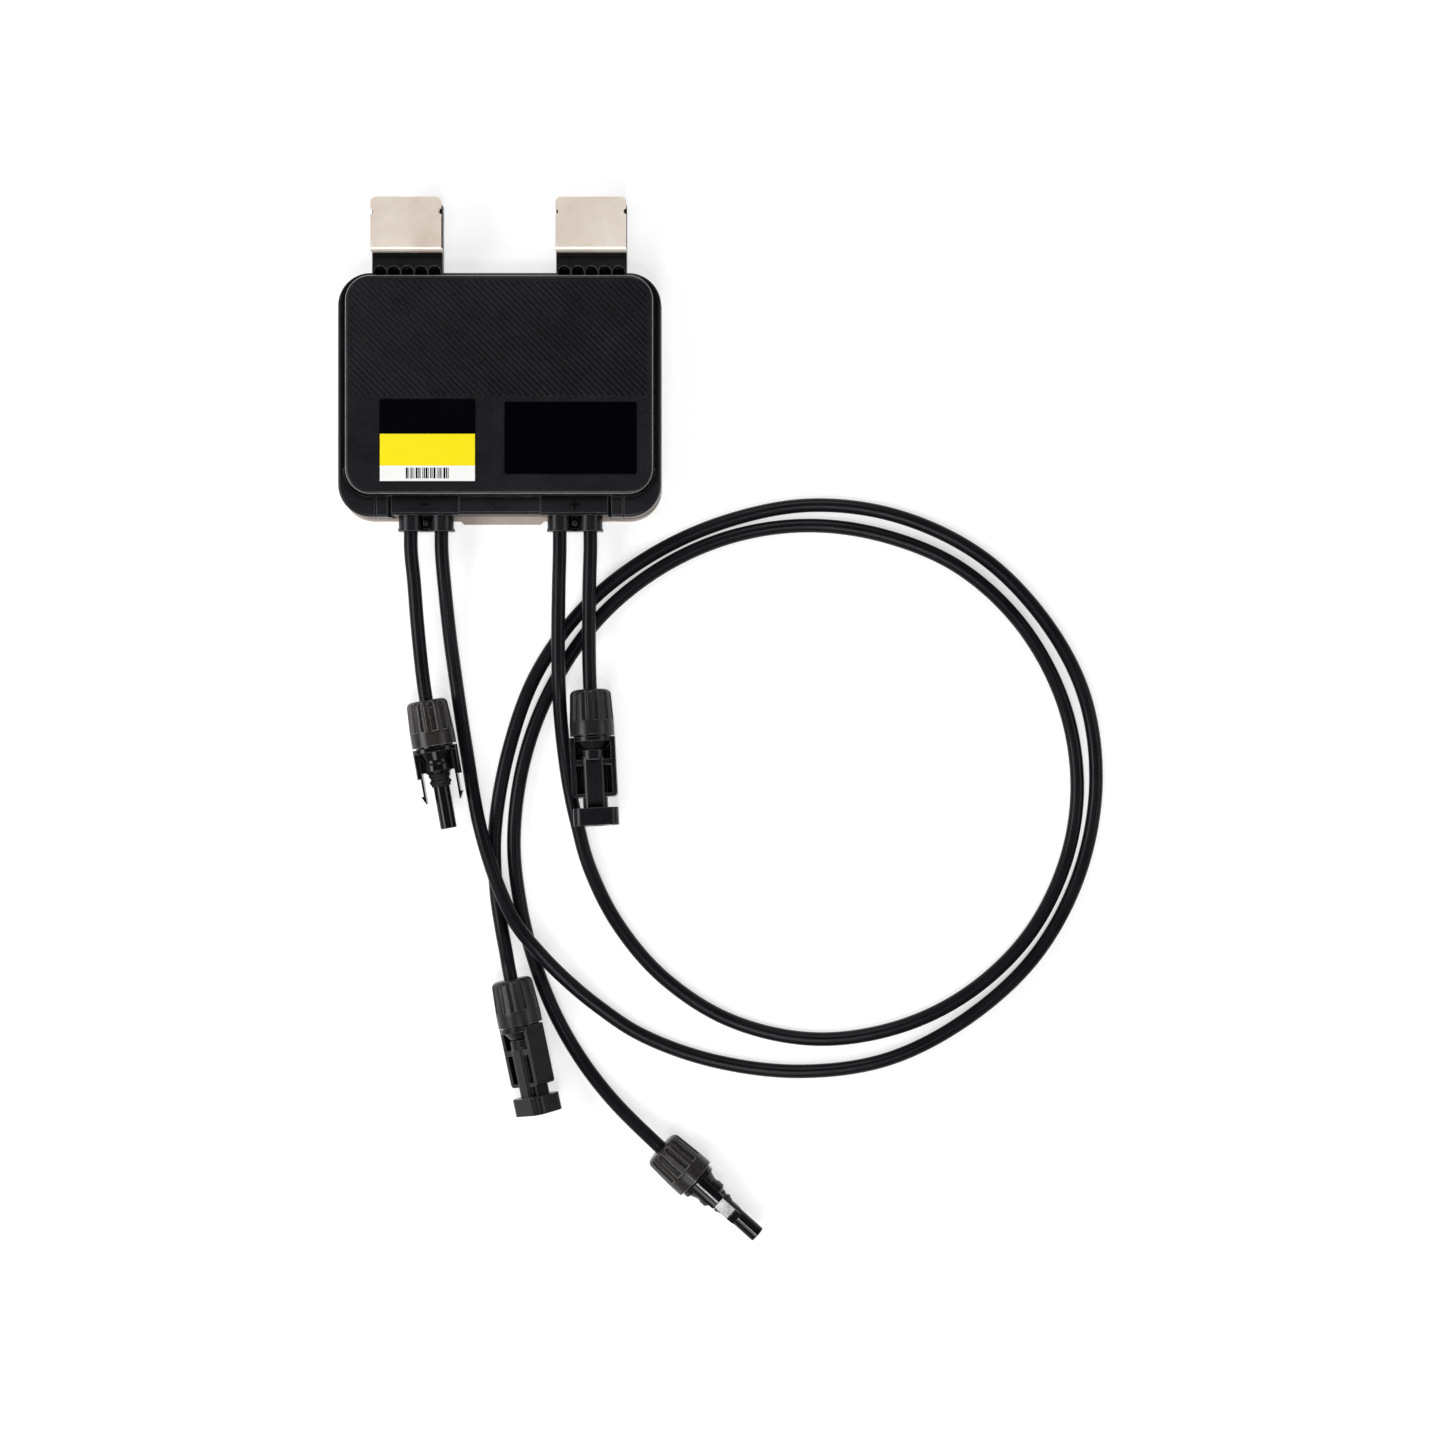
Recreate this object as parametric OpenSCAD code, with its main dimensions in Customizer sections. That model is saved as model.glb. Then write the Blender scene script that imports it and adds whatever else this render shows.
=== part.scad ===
// Module-level solar power optimizer: a flat moulded housing closed by a steel rear plate,
// two spring clips for a panel frame, and four leads that end in locking connectors.
// It lies on its rear plate. X is across the housing, +Y points to the clips, +Z out of the front.

/* [Housing] */
// Width of the housing
body_w = 138.4; // [130:0.2:150]
// Length of the housing without its tabs and cable bosses
body_l = 104.5; // [98:0.5:115]
// Corner radius of the housing seen from the front
body_r = 14; // [12:0.5:18]
// Height of the raised front panel above the rear face
body_h = 19.4; // [18.4:0.2:22]
// Thickness of the side walls
wall = 3; // [2.6:0.1:3.6]
// Thickness of the front wall
front_t = 2.4; // [2:0.1:3]
// Rounding of the shoulder's outer edge
shoulder_edge = 1.2; // [0.6:0.1:2]

/* [Front panel] */
// Height of the raised panel above the shoulder
panel_rise = 3; // [2.2:0.1:4]
// Width of the shoulder at each side of the panel
shoulder_w = 3.2; // [2.6:0.1:5]
// Width of the shoulder above the panel
shoulder_top = 1.2; // [1:0.1:2.4]
// Length of the row of lead blocks below the panel
row_l = 9.4; // [8.4:0.2:11]
// Corner radius of the panel
panel_r = 11; // [9:0.5:13]
// Rounding of the panel's edge
panel_edge = 1.6; // [0.8:0.1:2.2]
// Distance between the diagonal ridges
ridge_pitch = 2.06; // [1.6:0.02:3]
// Depth of the grooves between the ridges
ridge_depth = 0.4; // [0.2:0.05:0.6]
// Length of the smooth field below the ridges
smooth_l = 42; // [38:0.5:48]
// Width of the shadow groove between the panel and the row of lead blocks
row_groove_w = 0.8; // [0.5:0.1:1.2]
// Depth of that groove
row_groove_depth = 1.6; // [1:0.1:2.2]

/* [Labels] */
// Width of the rating label
rating_w = 40.6; // [34:0.2:44]
// Length of the rating label
rating_l = 34.8; // [28:0.2:36]
// Width of the dark label
dark_w = 56; // [46:0.5:60]
// Length of the dark label
dark_l = 30.4; // [24:0.2:34]
// Thickness of the labels
label_t = 0.25; // [0.1:0.05:0.5]

/* [Frame clips] */
// Width of each clip and of the tab behind it
clip_w = 30.2; // [28:0.2:34]
// Distance between the two clips, centre to centre
clip_pitch = 78.8; // [74:0.2:82]
// Thickness of the spring steel
clip_t = 1; // [0.8:0.1:1.2]
// Clear gap between the clip's foot and its tongue
clip_gap = 4.7; // [4.5:0.1:6]
// How far the tongue reaches beyond the housing
clip_reach = 31.3; // [29:0.1:34]
// Length of the tongue
tongue_l = 23; // [21:0.2:25]
// Outer radius of the clip's bends
clip_bend_r = 2; // [1.4:0.1:2.2]
// Corner radius of the tongue
tongue_r = 2.5; // [1:0.1:4]
// Radius of the half-round notches in the tongue's sides
tongue_notch_r = 1.2; // [0.6:0.1:1.6]
// Thickness of the tab
tab_t = 6; // [5:0.2:7]
// Distance from the tab's end to the tongue's end
tab_short = 2.5; // [2:0.1:4]
// Number of pockets at the root of each tab
pocket_n = 5; // [3:1:5]
// Diameter of a pocket
pocket_d = 5.2; // [4.6:0.1:5.2]
// Distance between the pockets
pocket_pitch = 5.83; // [5.7:0.01:6]
// Depth of a pocket
pocket_depth = 4.6; // [3:0.1:4.8]
// Radius of the clip rivets
rivet_r = 1.5; // [1.2:0.1:1.8]
// Distance between the two rivets of a clip
rivet_pitch = 18; // [14:0.5:20]

/* [Rear plate] */
// Thickness of the rear plate
plate_t = 1.5; // [1.4:0.1:2]
// How far the plate stands out below the housing
plate_out = 1; // [0.6:0.1:1.2]
// Width of the lip at the plate's lower edge
plate_lip_w = 33; // [28:0.5:34]
// How far the lip stands out below the housing
plate_lip = 2.4; // [1.5:0.1:3]
// Radius of the screws' shanks
screw_r = 1.4; // [1.2:0.05:1.5]
// Radius of the plate screws' countersunk heads
screw_head_r = 2.8; // [2.4:0.1:3]
// Width of the gasket
gasket_w = 1.2; // [0.9:0.1:1.3]
// Height of the gasket
gasket_h = 1; // [0.8:0.1:1.4]

/* [Lead blocks] */
// Width of a lead block
block_w = 28.7; // [27:0.1:29]
// Distance of a lead block from the middle of the housing
block_x = 32; // [31.8:0.1:32.4]
// How far a lead block stops short of the housing's lower edge
block_short = 0.9; // [0.4:0.1:1.5]
// How far a lead block lies below the shoulder
block_drop = 0.7; // [0.3:0.1:1.2]
// Distance between the two leads of a block
lead_pitch = 13.2; // [12.4:0.1:14]
// Height of the leads above the rear face
lead_z = 9.8; // [9.6:0.1:10.4]
// Diameter of the cable bosses
boss_d = 10.4; // [9.6:0.1:11]
// How far the cable bosses stand out below the housing
boss_out = 5.9; // [5:0.1:7]
// Depth to which a cable sits in its boss
boss_seat = 4; // [3:0.2:5]

/* [Leads and connectors] */
// Diameter of the leads
lead_d = 6; // [5.5:0.1:6.2]
// Length of the cap nuts
nut_l = 19.8; // [18.8:0.2:21]
// Diameter of the cap nuts
nut_d = 19.1; // [18.6:0.1:20]
// Number of grip grooves round a cap nut
nut_groove_n = 12; // [8:1:16]
// Gap between a cap nut and its housing
nut_gap = 0.8; // [0.5:0.1:1.2]
// Radius of the threaded neck inside a cap nut
neck_r = 8; // [7.6:0.1:8.2]
// Width of the socket housings and across the plug rails
shell_w = 19.4; // [18.8:0.1:20]
// Thickness of the socket housings' end block
shell_t = 14.5; // [13.8:0.1:15]
// Diameter of the plug's probe
probe_d = 7; // [6.8:0.05:7.2]
// Length of the plug's probe beyond its seal
probe_l = 18.2; // [16:0.2:20]
// Length of the locking fingers beyond the plug's housing
finger_l = 10.9; // [10:0.1:12]
// Radius of the turned contacts
contact_r = 2; // [1.8:0.05:2.1]

/* [Electronics] */
// Width of the circuit board
board_w = 110; // [100:1:112]
// Length of the circuit board
board_l = 78; // [74:0.5:79]
// Thickness of the circuit board
board_t = 1.6; // [1.4:0.1:2]
// Length of the posts under the front that carry the circuit board
post_l = 9.4; // [9.2:0.1:9.8]
// Diameter of the inductor's drum core
drum_d = 26; // [22:0.5:28]
// Height of the inductor
drum_h = 8.8; // [7.6:0.1:9]

/* [Hidden] */

$fn = 48;
black = [0.05, 0.05, 0.055];
rubber_black = [0.03, 0.03, 0.03];
steel = [0.72, 0.69, 0.64];
cut = 1;
fit = 0.2;
slip = 0.1;

// Heights
shoulder_z = body_h - panel_rise;
cavity_top = body_h - front_t;
side_cavity_top = shoulder_z - front_t;
tab_z = shoulder_z - 0.2;
block_z = shoulder_z - block_drop;
bridge_z = block_z + fit;
board_top = cavity_top - post_l;
board_z = board_top - board_t;

// Places along Y: the clips' ends and the bosses' ends lie as far from the origin as each other
top_y = (body_l + boss_out - clip_reach) / 2;
bottom_y = top_y - body_l;
exit_y = bottom_y - boss_out;
tongue_top_y = top_y + clip_reach;
tongue_foot_y = tongue_top_y - tongue_l;
tab_top_y = tongue_top_y - tab_short;
panel_top_y = top_y - shoulder_top;
row_y = bottom_y + row_l;
block_bottom_y = bottom_y + block_short;

// The raised panel
panel_w = body_w - 2 * shoulder_w;
panel_l = panel_top_y - row_y;
panel_y = (panel_top_y + row_y) / 2;
ridge_bottom_y = row_y + smooth_l;
ridge_margin = panel_edge + 1;
ridge_comb_z = 0.2;
ridge_share = 0.38;

// Labels
label_r = 0.6;
rating_right_x = -10.2;
rating_top_y = ridge_bottom_y - 1.6;
dark_left_x = 2.6;
dark_top_y = ridge_bottom_y - 2.8;

// The cavity behind the panel
cavity_w = body_w - 2 * wall;
cavity_l = top_y - wall - (row_y + wall);
cavity_y = (top_y + row_y) / 2;
cavity_r = body_r - wall;
panel_cavity_w = panel_w - 2 * front_t;
panel_cavity_l = panel_l - 2 * wall;

// The gasket runs along the middle of the wall's rear edge
seal_w = body_w - wall;
seal_l = top_y - row_y - wall;
seal_r = body_r - wall / 2;

// Screws and posts
screw_clear = 0.15;
plate_screw_l = 10;
plate_post_r = 3.8;
plate_post_x = body_w / 2 - wall - plate_post_r - 1;
plate_post_y = cavity_l / 2 - plate_post_r - 2.6;
plate_posts = [for (x = [-1, 1], y = [-1, 0, 1]) [x * plate_post_x, cavity_y + y * plate_post_y]];
board_post_r = 3.5;
board_post_x = board_w / 2 - 6;
board_post_y = board_l / 2 - 6;
board_posts = [for (x = [-1, 1], y = [-1, 1]) [x * board_post_x, cavity_y + y * board_post_y]];
board_screw_l = 6;
board_screw_head_r = 2.6;
board_screw_head_h = 1.8;
cross_l = 3.2;
cross_w = 0.6;
cross_depth = 0.8;

// What the board carries
drum_x = -22;
drum_flange = 1.4;
drum_post_r = 6;
coil_turns = 5;
transistor_n = 4;
transistor_size = [9, 8, 2.3];
transistor_at = [3.5, 10];
transistor_pitch = 11;
pad_margin = 1;
capacitor_n = 4;
capacitor_size = [7, 14, 8.4];
capacitor_at = [4, -18];
capacitor_pitch = 10;
chip_at = [2, 2];
chip_size = [10, 10, 1.4];
radio_at = [18, 2];
radio_size = [16, 11, 2.6];
diode_at = [38, 2];
diode_size = [8, 7, 2.6];
strip_t = 1;
strip_w = 5;
strip_overlap = 4;
strip_rise = 2.2;

// Clip details
foot_in = 1.2;
clip_side = [-1, 1];
foot_z = tab_z;
foot_l = tongue_l - 4;
tongue_z = foot_z + clip_t + clip_gap;
tongue_notch_in = 6.2;
tongue_notch_y = tongue_top_y - tongue_notch_in;
rivet_y = tongue_foot_y + tongue_l / 2;
rivet_head_r = rivet_r + 1;
rivet_tail_h = 1.2;
pocket_rim = 0.2;
pocket_y = panel_top_y + 1.4;
pocket_flat_y = panel_top_y + 0.1;
bend_steps = 8;

// Lead block details
row_bevel = 1;
bridge_short = 1.2;
spigot_w = block_w - 6;
spigot_h = 7;
spigot_in = 2;
boss_post_r = 1;
boss_flange_t = 1.2;
boss_flange_out = 0.2;
boss_web_h = boss_d / 2 - 1;
latch_w = 4.8;
latch_slot = 0.5;
latch_gap = 1.6;
latch_slot_depth = 5;
bridge_core_wall = 2.4;

// Connector details, measured along the axis from the cable's end of the nut
cable_clear = 0.2;
nut_cap_t = 3.5;
nut_end_r = nut_d / 2 - 0.7;
nut_round = 2.4;
nut_collar_l = 5;
nut_groove_r = 2.2;
nut_groove_depth = 0.6;
nut_groove_land = 1.5;
neck_x = 6;
neck_wall = 1.1;
gland_x = nut_cap_t + slip;
crimp_x = 14;
shell_x = nut_l + nut_gap;
plug_core_l = 11.4;
plug_end = shell_x + plug_core_l;
plug_rail_l = 12.6;
plug_rail_end = shell_x + plug_rail_l;
plug_core_r = 7.8;
plug_waist_r = 5.8;
plug_cone_l = 5.4;
plug_ring_r = 6.2;
plug_ring_l = 4;
plug_nose_r = 4.7;
plug_collar_t = 16;
plug_collar_r = 7.9;
plug_web_t = 1.6;
plug_bevel = 0.7;
collar_l = 1.8;
plug_rail_t = 2.6;
plug_rail_h = 7;
seal_l_probe = 5.6;
probe_end = plug_end + seal_l_probe + probe_l;
finger_t = 0.9;
finger_h = 5.5;
finger_y = shell_w / 2 - plug_rail_t;
barb_l = 3.4;
barb_h = 1.1;
barb_tip = 0.3;
finger_root = 2;
finger_slot_t = 2.2;
finger_slot_h = finger_h + 0.6;
socket_end = shell_x + 37.9;
socket_block_l = 7.5;
socket_rail_l = 25.7;
socket_rail_t = 2;
socket_rail_h = 9.4;
socket_body = 10.6;
socket_web_t = 1.6;
socket_end_bar = 1.4;
socket_bar_l = 2.3;
socket_rail_r = 1.8;
socket_upper_l = 9.6;
socket_bar_x = shell_x + socket_upper_l;
socket_cone_l = 5.6;
socket_ring_r = 6;
socket_collar_in = 0.7;
socket_body_r = 3;
socket_corner_r = 4;
socket_bore_l = 20;
probe_room = 0.25;
seal_lip_r = probe_d / 2 + 1.25;
seal_seat_r = probe_d / 2 - 0.25;
socket_recess = 7;
plug_recess = 1.5;
contact_bore_r = contact_r + 0.5;
crimp_r = contact_r + 0.4;

// Resting places of the connectors: place of the nut's cable end, heading, upward tilt and roll
rest_z = nut_d / 2 + 0.05;
negative_input_rest = [[-32, -143.5, rest_z], -80, 0, 0];
positive_input_rest = [[38.5, -139, rest_z - 0.25], -87, 4, 0];
negative_output_rest = [[4.5, -263.5, rest_z + 0.45], -78, 1.5, 50];
positive_output_rest = [[69, -336, max(rest_z, shell_w / 2 + 0.05)], -42, 0, 90];

// Route points of the four leads between the cable bosses and the connectors
lead_sides = 10;
lead_straight = 8;
negative_input_route = [[-37.4, -92, 9.2], [-36, -110, 9], [-34.2, -128, 9.3]];
positive_input_route = [[38.2, -92, 9.6], [38, -108, 9.5], [38, -122, 9.5]];
negative_output_route = [
    [-24.2, -95, 8.4], [-22.4, -115, 5.2], [-20, -134, 3.4], [-17.4, -152, 3.1], [-14.6, -169, 4.1],
    [-12, -184, 6.8], [-9, -198, 9.2], [-5, -212, 9.7], [0, -226, 9.8], [6.5, -239.5, 9.7],
    [16, -251.5, 9.3], [28, -264, 7], [42, -276, 4.2], [60, -288, 3.1], [90, -299, 3.1],
    [128, -304, 3.1], [166, -299, 3.1], [200, -282, 3.1], [230, -255, 3.1], [249, -221, 3.1],
    [257, -182, 3.1], [252.5, -143, 3.1], [236, -110.5, 3.1], [208, -81.5, 3.1], [172, -64, 3.1],
    [134, -59, 3.1], [97, -66, 3.1], [64, -81, 3.1], [36, -103, 3.1], [15, -132, 3.1],
    [3, -165, 3.1], [-3, -200, 3.1], [-2.4, -226, 3.1], [-0.2, -241, 4.2], [2, -251.5, 7.2]
];
positive_output_route = [
    [25, -95, 9.7], [24.7, -118, 9.7], [25, -136, 9.5], [25.6, -150, 7.4], [26.8, -164, 4.6],
    [29, -180, 3.2], [32.4, -196, 3.1], [38, -216, 3.1], [50, -240, 3.1], [70, -263.5, 3.1],
    [99, -282, 3.1], [135, -290, 3.1], [171, -285, 3.1], [202, -270, 3.1], [228, -245, 3.1],
    [244, -213, 3.1], [249, -180, 3.1], [243, -144.5, 3.1], [225, -111, 3.1], [198, -86, 3.1],
    [166, -72.4, 3.1], [133, -67.8, 3.1], [100, -72.4, 3.1], [69, -86, 3.1], [42, -108, 3.1],
    [21.5, -138, 3.1], [9.5, -170, 3.1], [5.2, -204, 3.1], [8, -232, 3.1], [14, -256, 3.1],
    [23, -279, 3.1], [34.5, -299, 3.3], [48, -316, 5.6]
];

// Flat rounded rectangle
module rounded_rect(w, l, r) {
    square([w - 2 * r, l], center = true);
    square([w, l - 2 * r], center = true);
    for (x = [-1, 1], y = [-1, 1]) {
        translate([x * (w / 2 - r), y * (l / 2 - r)]) circle(r);
    }
}

// Upright slab with a rounded rectangular outline
module slab(w, l, r, h) {
    linear_extrude(h) rounded_rect(w, l, r);
}

// Points of a section whose outer top corner is rounded
function edge_section(reach, h, edge) = concat(
    [[0, 0], [reach, 0]],
    [for (i = [0 : bend_steps]) let (a = 90 * i / bend_steps)
        [reach - edge + edge * cos(a), h - edge + edge * sin(a)]],
    [[0, h]]
);

// Slab whose top edge is rounded all the way round
module soft_slab(w, l, r, h, edge) {
    section = edge_section(r, h, edge);
    for (x = [-1, 1], y = [-1, 1]) {
        turn = x > 0 ? (y > 0 ? 0 : 270) : (y > 0 ? 90 : 180);
        translate([x * (w / 2 - r), y * (l / 2 - r), 0])
            rotate([0, 0, turn]) rotate_extrude(angle = 90) polygon(section);
    }
    for (turn = [0, 180]) {
        rotate([0, 0, turn]) translate([w / 2 - r, l / 2 - r, 0])
            rotate([90, 0, 0]) linear_extrude(l - 2 * r) polygon(section);
        rotate([0, 0, turn + 90]) translate([l / 2 - r, w / 2 - r, 0])
            rotate([90, 0, 0]) linear_extrude(w - 2 * r) polygon(section);
    }
    translate([r - w / 2, r - l / 2, 0]) cube([w - 2 * r, l - 2 * r, h]);
}

// Comb of V grooves that leaves diagonal ridges on the upper part of the panel
module ridge_comb() {
    field_w = panel_w - 2 * ridge_margin;
    field_top = panel_top_y - ridge_margin;
    field_l = field_top - ridge_bottom_y;
    reach = (field_w + field_l) / 2;
    count = floor(reach * sqrt(2) / ridge_pitch / 2);
    tooth = ridge_pitch * ridge_share;
    end = (count + 1) * ridge_pitch;
    teeth = [for (i = [-count : count], side = [-1, 0, 1])
        [i * ridge_pitch + side * tooth, side == 0 ? -ridge_depth : ridge_comb_z]];
    section = concat(
        [[-end, cut], [-end, ridge_comb_z]],
        teeth,
        [[end, ridge_comb_z], [end, cut]]
    );
    intersection() {
        translate([0, (field_top + ridge_bottom_y) / 2, body_h]) rotate([0, 0, 45])
            rotate([90, 0, 0]) linear_extrude(2 * reach, center = true) polygon(section);
        translate([-field_w / 2, ridge_bottom_y, body_h - cut])
            cube([field_w, field_l, 2 * cut]);
    }
}

// Outer form of the housing with its two tabs
module housing_outside() {
    difference() {
        translate([0, top_y - body_l / 2, plate_t])
            soft_slab(body_w, body_l, body_r, shoulder_z - plate_t, shoulder_edge);
        translate([0, 0, shoulder_z - row_groove_depth]) intersection() {
            translate([0, panel_y, 0])
                slab(panel_w + 2 * row_groove_w, panel_l + 2 * row_groove_w,
                    panel_r + row_groove_w, row_groove_depth + cut);
            translate([-body_w / 2, bottom_y, 0])
                cube([body_w, row_l + panel_r, row_groove_depth + cut]);
        }
    }
    translate([0, panel_y, shoulder_z - row_groove_depth - cut])
        soft_slab(panel_w, panel_l, panel_r, panel_rise + row_groove_depth + cut, panel_edge);
    for (x = clip_side) {
        translate([x * clip_pitch / 2 - clip_w / 2, top_y - wall / 2, tab_z - tab_t])
            cube([clip_w, tab_top_y - top_y + wall / 2, tab_t]);
    }
}

// Space inside the housing, open to the rear
module housing_cavity() {
    translate([0, cavity_y, plate_t - cut])
        slab(cavity_w, cavity_l, cavity_r, side_cavity_top - plate_t + cut);
    translate([0, cavity_y, side_cavity_top - cut])
        slab(panel_cavity_w, panel_cavity_l, panel_r - front_t, cavity_top - side_cavity_top + cut);
}

// Slots and gaps of the row of lead blocks
module row_cuts() {
    block_cut_w = block_w + 2 * fit;
    for (x = [-1, 1]) {
        translate([x * block_x - block_cut_w / 2, bottom_y - cut, 0])
            cube([block_cut_w, row_l + cut, body_h]);
        latch_in = block_x + block_w / 2 + latch_gap;
        latch_out = latch_in + latch_w;
        for (slot = [[block_x + block_w / 2, latch_gap], [latch_out, latch_slot]]) {
            slot_x = x > 0 ? slot[0] : -slot[0] - slot[1];
            translate([slot_x, bottom_y - cut, shoulder_z - latch_slot_depth])
                cube([slot[1], row_l + cut, latch_slot_depth + cut]);
        }
        translate([x * block_x - spigot_w / 2 - fit, row_y - cut, lead_z - spigot_h / 2 - fit])
            cube([spigot_w + 2 * fit, wall + 2 * cut, spigot_h + 2 * fit]);
    }
    bridge_w = 2 * (block_x - block_w / 2);
    difference() {
        translate([-bridge_w / 2, bottom_y - cut, plate_t - cut])
            cube([bridge_w, row_l - row_groove_w + cut, shoulder_z]);
        translate([-bridge_w / 2 - cut, 0, -cut]) rotate([90, 0, 90]) linear_extrude(bridge_w + 2 * cut)
            bevelled_section(bottom_y + bridge_short, row_y + cut, bridge_z + cut, row_bevel);
    }
    core_w = bridge_w - 2 * (fit + bridge_core_wall);
    core_h = block_z - bridge_core_wall - plate_t;
    translate([-core_w / 2, bottom_y + bridge_short + bridge_core_wall, plate_t - cut])
        cube([core_w, row_l - bridge_short - 2 * bridge_core_wall, core_h + cut]);
}

// Blind pockets at the root of both tabs
module tab_pockets() {
    for (x = clip_side, i = [0 : pocket_n - 1]) {
        px = x * clip_pitch / 2 + (i - (pocket_n - 1) / 2) * pocket_pitch;
        intersection() {
            translate([px, pocket_y, tab_z - pocket_depth]) {
                cylinder(d = pocket_d, h = pocket_depth + cut);
                translate([0, 0, pocket_depth - pocket_rim])
                    cylinder(d1 = pocket_d, d2 = pocket_d + 4 * pocket_rim, h = 2 * pocket_rim);
            }
            translate([px - pocket_d, pocket_flat_y, tab_z - pocket_depth - cut])
                cube([2 * pocket_d, 2 * pocket_d, pocket_depth + 3 * cut]);
        }
    }
}

module rivet_places() {
    for (x = clip_side, side = [-1, 1]) {
        translate([x * clip_pitch / 2 + side * rivet_pitch / 2, rivet_y, 0]) children();
    }
}

module housing() {
    color(black) difference() {
        union() {
            difference() {
                housing_outside();
                housing_cavity();
            }
            for (p = plate_posts) {
                translate([p[0], p[1], plate_t]) cylinder(r = plate_post_r, h = cavity_top - plate_t + cut);
            }
            for (p = board_posts) {
                translate([p[0], p[1], board_top])
                    cylinder(r = board_post_r, h = cavity_top - board_top + cut);
            }
        }
        row_cuts();
        tab_pockets();
        ridge_comb();
        rivet_places() translate([0, 0, tab_z - tab_t - cut])
            cylinder(r = rivet_r + slip, h = tab_t + 2 * cut);
        for (p = plate_posts) {
            translate([p[0], p[1], 0]) cylinder(r = screw_r + screw_clear, h = plate_screw_l + cut);
        }
        for (p = board_posts) {
            translate([p[0], p[1], board_top - cut])
                cylinder(r = screw_r + screw_clear, h = board_screw_l + cut);
        }
        translate([0, cavity_y, plate_t]) gasket_ring(gasket_h, cut);
    }
}

// Ring of the gasket, lengthened downwards by under
module gasket_ring(h, under) {
    translate([0, 0, -under]) difference() {
        slab(seal_w + gasket_w, seal_l + gasket_w, seal_r + gasket_w / 2, h + under);
        translate([0, 0, -cut])
            slab(seal_w - gasket_w, seal_l - gasket_w, seal_r - gasket_w / 2, h + under + 2 * cut);
    }
}

module plate_gasket() {
    color(rubber_black) translate([0, cavity_y, plate_t]) gasket_ring(gasket_h, 0);
}

module rear_plate() {
    plate_l = body_l + plate_out;
    plate_bottom_y = bottom_y - plate_out;
    lip_top_w = plate_lip_w + 2 * (plate_lip - plate_out);
    color(steel) difference() {
        linear_extrude(plate_t) {
            translate([0, top_y - plate_l / 2]) rounded_rect(body_w, plate_l, body_r);
            polygon([
                [-lip_top_w / 2, plate_bottom_y + cut], [-lip_top_w / 2, plate_bottom_y],
                [-plate_lip_w / 2, bottom_y - plate_lip], [plate_lip_w / 2, bottom_y - plate_lip],
                [lip_top_w / 2, plate_bottom_y], [lip_top_w / 2, plate_bottom_y + cut]
            ]);
        }
        for (p = plate_posts) {
            translate([p[0], p[1], 0]) {
                countersink(slip);
                translate([0, 0, -cut]) cylinder(r = screw_r + screw_clear, h = plate_t + 2 * cut);
            }
        }
    }
}

// Cone of a countersunk head that is flush with the plate's rear face
module countersink(room) {
    depth = screw_head_r - screw_r;
    cylinder(r1 = screw_head_r + room, r2 = screw_r + room, h = min(depth, plate_t));
}

// One slot of a cross recess in a screw's head
module screw_slot(z) {
    translate([-cross_l / 2, -cross_w / 2, z - cut]) cube([cross_l, cross_w, cut + cross_depth]);
}

module plate_screws() {
    color(steel) for (p = plate_posts) {
        translate([p[0], p[1], 0]) difference() {
            union() {
                countersink(0);
                cylinder(r = screw_r, h = plate_screw_l);
            }
            for (turn = [0, 90]) {
                rotate([0, 0, turn]) screw_slot(0);
            }
        }
    }
}

// Section of the bent clip: foot, web and tongue
function clip_arc(cy, cz, r, from, to) =
    [for (i = [0 : bend_steps]) let (a = from + (to - from) * i / bend_steps)
        [cy + r * cos(a), cz + r * sin(a)]];

module clip_section() {
    low = foot_z + clip_bend_r;
    high = tongue_z + clip_t - clip_bend_r;
    in_r = clip_bend_r - clip_t;
    y = tongue_foot_y + clip_bend_r;
    polygon(concat(
        [[tongue_foot_y + foot_l, foot_z]],
        clip_arc(y, low, clip_bend_r, 270, 180),
        clip_arc(y, high, clip_bend_r, 180, 90),
        [[tongue_top_y, tongue_z + clip_t], [tongue_top_y, tongue_z]],
        clip_arc(y, high, in_r, 90, 180),
        clip_arc(y, low, in_r, 180, 270),
        [[tongue_foot_y + foot_l, foot_z + clip_t]]
    ));
}

module frame_clip() {
    foot_start = tongue_foot_y + clip_bend_r;
    color(steel) difference() {
        translate([-clip_w / 2, 0, 0]) rotate([90, 0, 90]) linear_extrude(clip_w) clip_section();
        for (side = [-1, 1]) {
            translate([side * clip_w / 2, tongue_notch_y, tongue_z - cut])
                cylinder(r = tongue_notch_r, h = clip_t + 2 * cut);
            translate([side * (clip_w / 2 - tongue_r), tongue_top_y - tongue_r, tongue_z - cut])
                difference() {
                    translate([side > 0 ? 0 : -tongue_r - cut, 0, 0])
                        cube([tongue_r + cut, tongue_r + cut, clip_t + 2 * cut]);
                    translate([0, 0, -cut]) cylinder(r = tongue_r, h = clip_t + 4 * cut);
                }
            translate([side > 0 ? clip_w / 2 - foot_in : -clip_w / 2 - cut, foot_start, foot_z - cut])
                cube([foot_in + cut, foot_l, clip_t + cut + clip_gap / 2]);
            translate([side * rivet_pitch / 2, rivet_y, foot_z]) {
                translate([0, 0, -cut]) cylinder(r = rivet_r + slip, h = clip_t + 2 * cut);
                cylinder(r1 = rivet_r + slip, r2 = rivet_head_r + slip, h = clip_t);
            }
        }
    }
}

module left_frame_clip() {
    translate([-clip_pitch / 2, 0, 0]) frame_clip();
}

module right_frame_clip() {
    translate([clip_pitch / 2, 0, 0]) frame_clip();
}

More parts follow.
